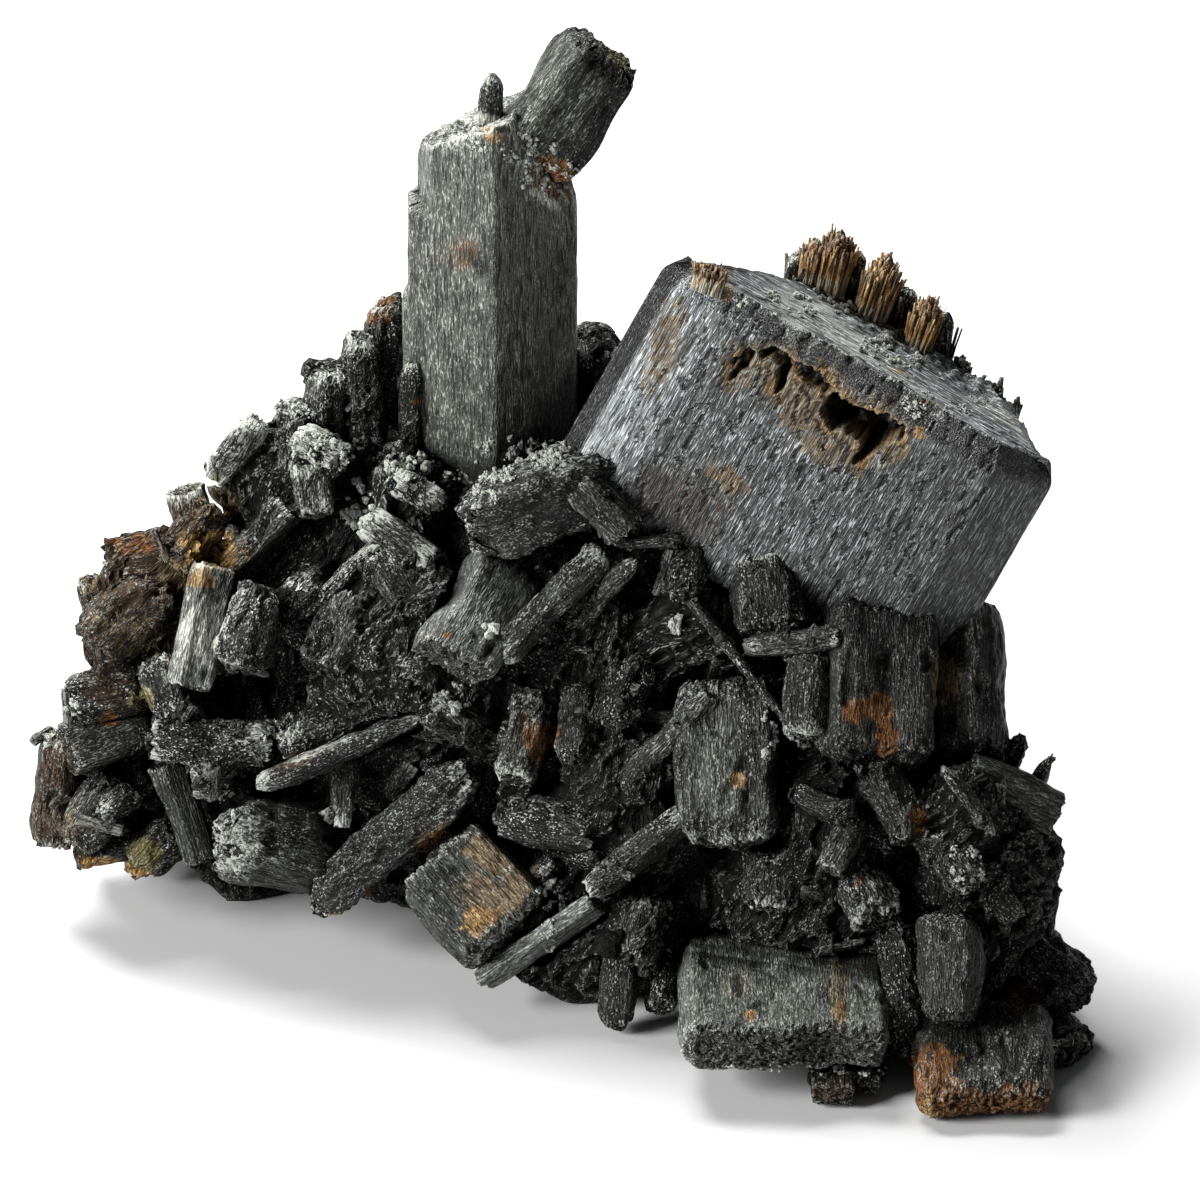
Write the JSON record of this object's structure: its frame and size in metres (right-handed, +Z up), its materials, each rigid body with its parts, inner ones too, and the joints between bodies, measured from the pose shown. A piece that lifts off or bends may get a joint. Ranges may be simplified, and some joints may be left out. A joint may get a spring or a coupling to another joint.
{
  "type": "amphibole mineral specimen",
  "caption": "Pile of black, fibrous, blade-like and blocky amphibole crystals grown together, with rust stains, on a base cut flat to stand on.",
  "frame": {"origin": "centre of the bounding box in plan, on the plane of the flat base", "axes": "+X to the right along the length, +Y to the back, +Z up; the display face looks along -Y and leans back"},
  "size_m": [0.1072, 0.075, 0.0951],
  "materials": {
    "blocky_crystal": "satin, striated, blue-grey",
    "corner_crystal": "satin, striated, near black",
    "crystal_mass": "dull, rough, near black",
    "diagonal_crystal": "satin, striated, near black",
    "flank_crystal": "satin, striated, near black",
    "flank_slab": "satin, striated, near black",
    "foot_crystal": "satin, striated, near black",
    "front_block": "satin, striated, near black",
    "grey_plate": "satin, striated, near black",
    "left_block": "satin, striated, near black",
    "long_slab": "satin, striated, near black",
    "pale_slab": "satin, fibrous, pale grey",
    "pillar_crystal": "satin, striated, near black",
    "rounded_crystal": "satin, striated, near black",
    "rust_edged_plate": "rough, rust stained",
    "rusty_foot": "rough, fibrous, rusty",
    "shield_crystal": "satin, striated, near black",
    "stained_block": "rough, fibrous, tan stained",
    "striated_bar": "satin, striated, near black",
    "striated_block": "satin, striated, near black",
    "tall_crystal": "satin, striated, grey-green",
    "tilted_crystal": "satin, striated, near black",
    "top_stub": "satin, striated, near black",
    "under_crystal": "satin, striated, near black"
  },
  "bodies": {
    "root": {"blocky_crystal": "blocky_crystal", "corner_crystal": "corner_crystal", "crystal_mass": "crystal_mass", "diagonal_crystal": "diagonal_crystal", "flank_crystal": "flank_crystal", "flank_slab": "flank_slab", "foot_crystal": "foot_crystal", "front_block": "front_block", "grey_plate": "grey_plate", "left_block": "left_block", "long_slab": "long_slab", "pale_slab": "pale_slab", "pillar_crystal": "pillar_crystal", "rounded_crystal": "rounded_crystal", "rust_edged_plate": "rust_edged_plate", "rusty_foot": "rusty_foot", "shield_crystal": "shield_crystal", "stained_block": "stained_block", "striated_bar": "striated_bar", "striated_block": "striated_block", "tall_crystal": "tall_crystal", "tilted_crystal": "tilted_crystal", "top_stub": "top_stub", "under_crystal": "under_crystal"}
  },
  "joints": []
}
